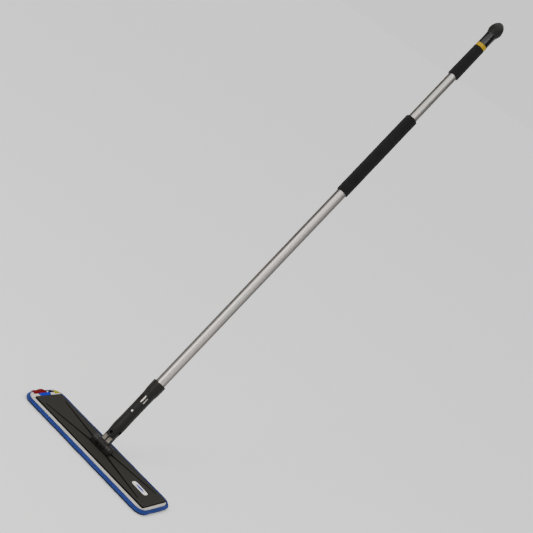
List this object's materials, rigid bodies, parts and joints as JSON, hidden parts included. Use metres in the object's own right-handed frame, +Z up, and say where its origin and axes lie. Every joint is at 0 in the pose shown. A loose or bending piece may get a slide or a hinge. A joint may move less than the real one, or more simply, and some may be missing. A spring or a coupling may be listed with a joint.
{
  "type": "flat floor mop",
  "caption": "Flat floor mop: rectangular microfibre pad on a black swivel head, telescopic alloy handle with foam grips, colour ring and turning end knob.",
  "frame": {"origin": "on the pad's underside, below the middle of the head plate", "axes": "+X along the head's long side, towards the end that carries the badge; +Y the way the handle leans back at rest; +Z up"},
  "size_m": [0.444, 0.6736, 1.3745],
  "materials": {
    "black_plastic": "fine matt moulded texture",
    "gloss_black": "glossy moulded neck",
    "foam": "closed-cell foam, matt",
    "alloy": "brushed lengthwise, anodised",
    "steel": "bright zinc plated",
    "bush_plastic": "slippery grey plastic",
    "yellow_plastic": "semi-gloss colour ring",
    "badge_white": "pale label plate",
    "badge_blue": "printed lozenge",
    "backing": "pale woven backing",
    "pile": "twisted microfibre pile",
    "filling": "white fibre filling",
    "hook_tape": "hook tape",
    "tab_red": "red ribbon",
    "tab_blue": "blue ribbon",
    "tab_green": "dark green ribbon",
    "tab_yellow": "yellow ribbon"
  },
  "bodies": {
    "pole": {"fork_end": "black_plastic", "connector_body": "black_plastic", "fork_screw": "steel", "fork_pin": "steel", "pin_clip": "steel", "lower_tube": "alloy", "mid_grip": "foam", "guide_bush": "bush_plastic", "button_spring": "steel"},
    "snap_button": {"snap_button": "steel"},
    "lock_sleeve": {"lock_sleeve": "bush_plastic"},
    "upper_pole": {"upper_tube": "alloy", "lock_cone": "bush_plastic", "top_grip": "foam", "colour_ring": "yellow_plastic", "knob_stem": "gloss_black", "knob_screw": "steel", "knob_washer": "steel"},
    "knob": {"knob_body": "black_plastic", "knob_cap": "black_plastic"},
    "swivel_block": {"swivel_block": "black_plastic"},
    "head": {"base_plate": "black_plastic", "hinge_pin": "steel", "hook_strip_front": "hook_tape", "hook_strip_back": "hook_tape", "badge": "badge_white", "badge_mark": "badge_blue", "pad_backing": "backing", "pad_core": "filling", "pad_pile": "pile", "pad_seam": "backing", "tab_red": "tab_red", "tab_blue": "tab_blue", "tab_green": "tab_green", "tab_yellow": "tab_yellow"}
  },
  "joints": [
    {"name": "side_swing", "type": "hinge", "parent": "pole", "child": "swivel_block", "pos_m": [0, 0.01448, 0.06252], "axis": [0, 0.9135, -0.4067], "range_deg": [-85, 85]},
    {"name": "fore_aft_tilt", "type": "hinge", "parent": "swivel_block", "child": "head", "pos_m": [0, 0, 0.03], "axis": [1, 0, 0], "range_deg": [-99, 51]},
    {"name": "telescope", "type": "slide", "parent": "pole", "child": "lock_sleeve", "axis": [0, 0.4067, 0.9135], "range_m": [-0.15, 0.25]},
    {"name": "twist_lock", "type": "hinge", "parent": "lock_sleeve", "child": "upper_pole", "pos_m": [0, 0.30505, 0.71516], "axis": [0, 0.4067, 0.9135], "range_deg": [0, 150]},
    {"name": "knob_spin", "type": "hinge", "parent": "upper_pole", "child": "knob", "pos_m": [0, 0.5857, 1.3455], "axis": [0, 0.4067, 0.9135], "continuous": true},
    {"name": "button_press", "type": "slide", "parent": "pole", "child": "snap_button", "axis": [-0.1392, 0.9047, -0.4028], "range_m": [0, 0.004], "stiffness_N_per_m": 1500, "springref_m": -0.002, "deforming": ["button_spring"]}
  ]
}
